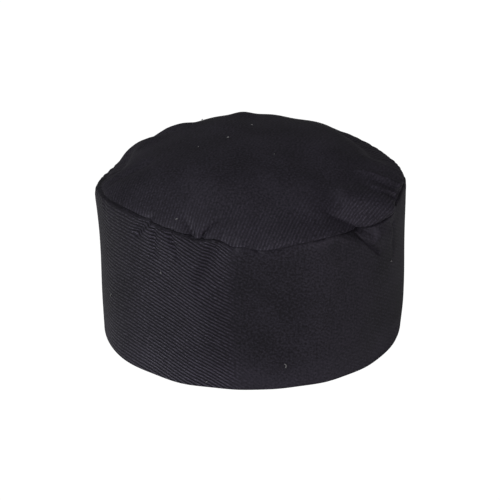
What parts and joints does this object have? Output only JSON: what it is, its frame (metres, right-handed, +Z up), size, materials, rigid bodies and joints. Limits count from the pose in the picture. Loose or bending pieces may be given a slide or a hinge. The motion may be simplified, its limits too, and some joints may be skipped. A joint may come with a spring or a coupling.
{
  "type": "chef skull cap",
  "caption": "Brimless skull cap in black twill: an upright side band sewn with a puckered seam to a soft domed crown top, hollow and open below for the head.",
  "frame": {"origin": "on the surface that the hem rests on, under the middle of the cap's outline", "axes": "+Z up through the middle of the crown top, -Y out of the cap's front, +X to the right of someone who looks at the front"},
  "size_m": [0.1901, 0.1908, 0.1255],
  "materials": {
    "band_twill": "matt black cotton twill",
    "crown_twill": "matt black cotton twill",
    "thread": "black spun polyester sewing thread"
  },
  "bodies": {
    "root": {"side_band": "band_twill", "crown_top": "crown_twill"}
  },
  "joints": []
}
